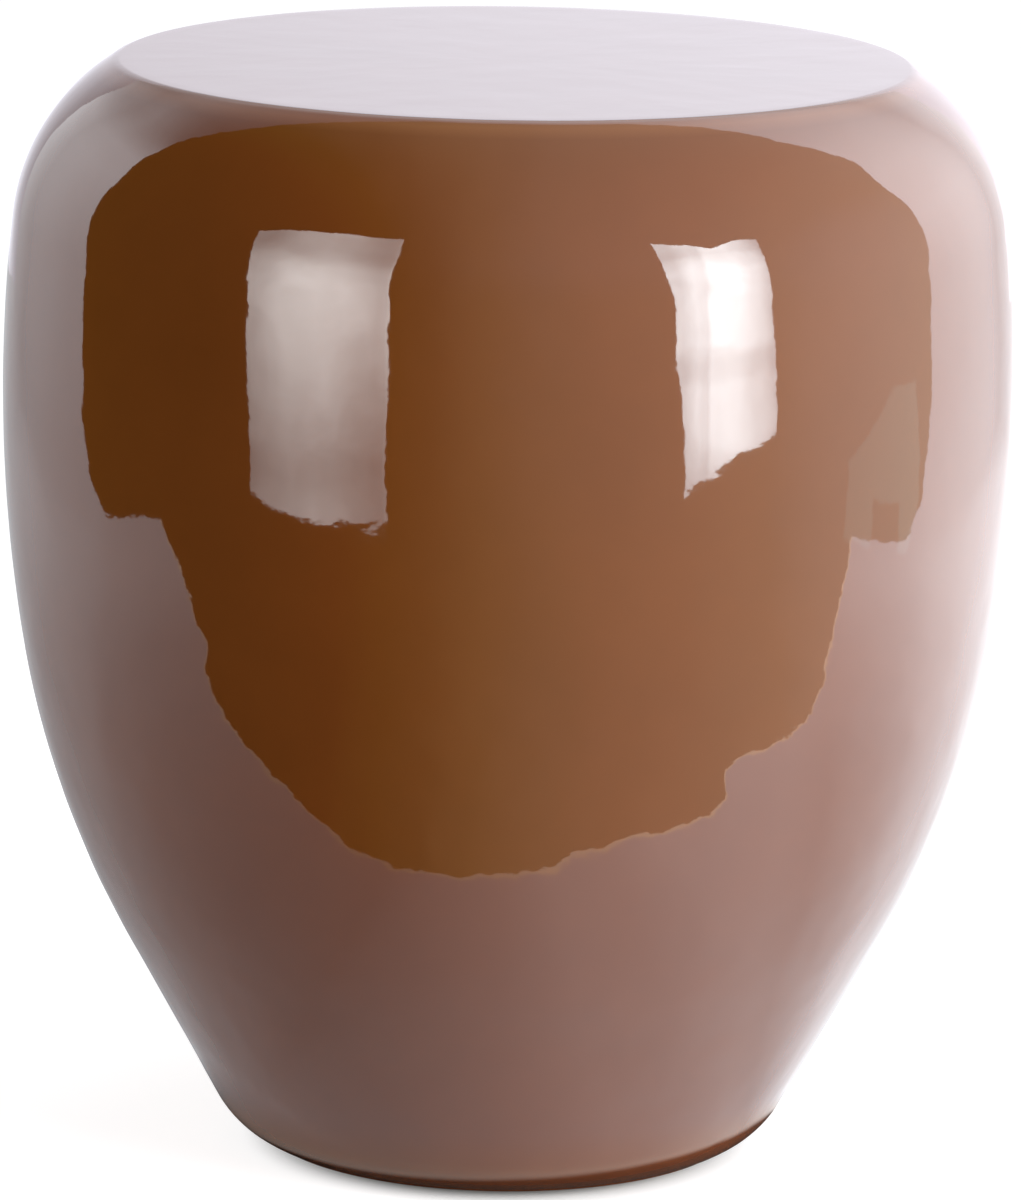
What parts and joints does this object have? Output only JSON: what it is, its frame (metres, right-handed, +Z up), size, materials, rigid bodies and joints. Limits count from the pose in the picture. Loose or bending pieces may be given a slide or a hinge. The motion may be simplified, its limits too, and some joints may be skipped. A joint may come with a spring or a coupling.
{
  "type": "garden stool",
  "caption": "Hollow ceramic garden stool: flat round seat, rounded shoulder, sides that taper to a narrow rolled foot, glossy brown glaze and felt floor pads.",
  "frame": {"origin": "on the floor, on the upright axis of the stool, midway between its felt pads", "axes": "+Z up along the axis of the body; the felt pads lie at 45 degrees between X and Y"},
  "size_m": [0.4126, 0.4126, 0.45],
  "materials": {
    "stoneware": "unglazed, matte",
    "fired_slip": "unglazed, matte",
    "brown_glaze": "gloss",
    "felt": "pressed felt",
    "adhesive": "matte film"
  },
  "bodies": {
    "root": {"seat_shell": "stoneware", "lower_shell": "stoneware", "seam_slip": "fired_slip", "seam_coil": "stoneware", "glaze_coat": "brown_glaze", "floor_pad_1": "felt", "floor_pad_2": "felt", "floor_pad_3": "felt", "floor_pad_4": "felt", "pad_adhesive_1": "adhesive", "pad_adhesive_2": "adhesive", "pad_adhesive_3": "adhesive", "pad_adhesive_4": "adhesive"}
  },
  "joints": []
}
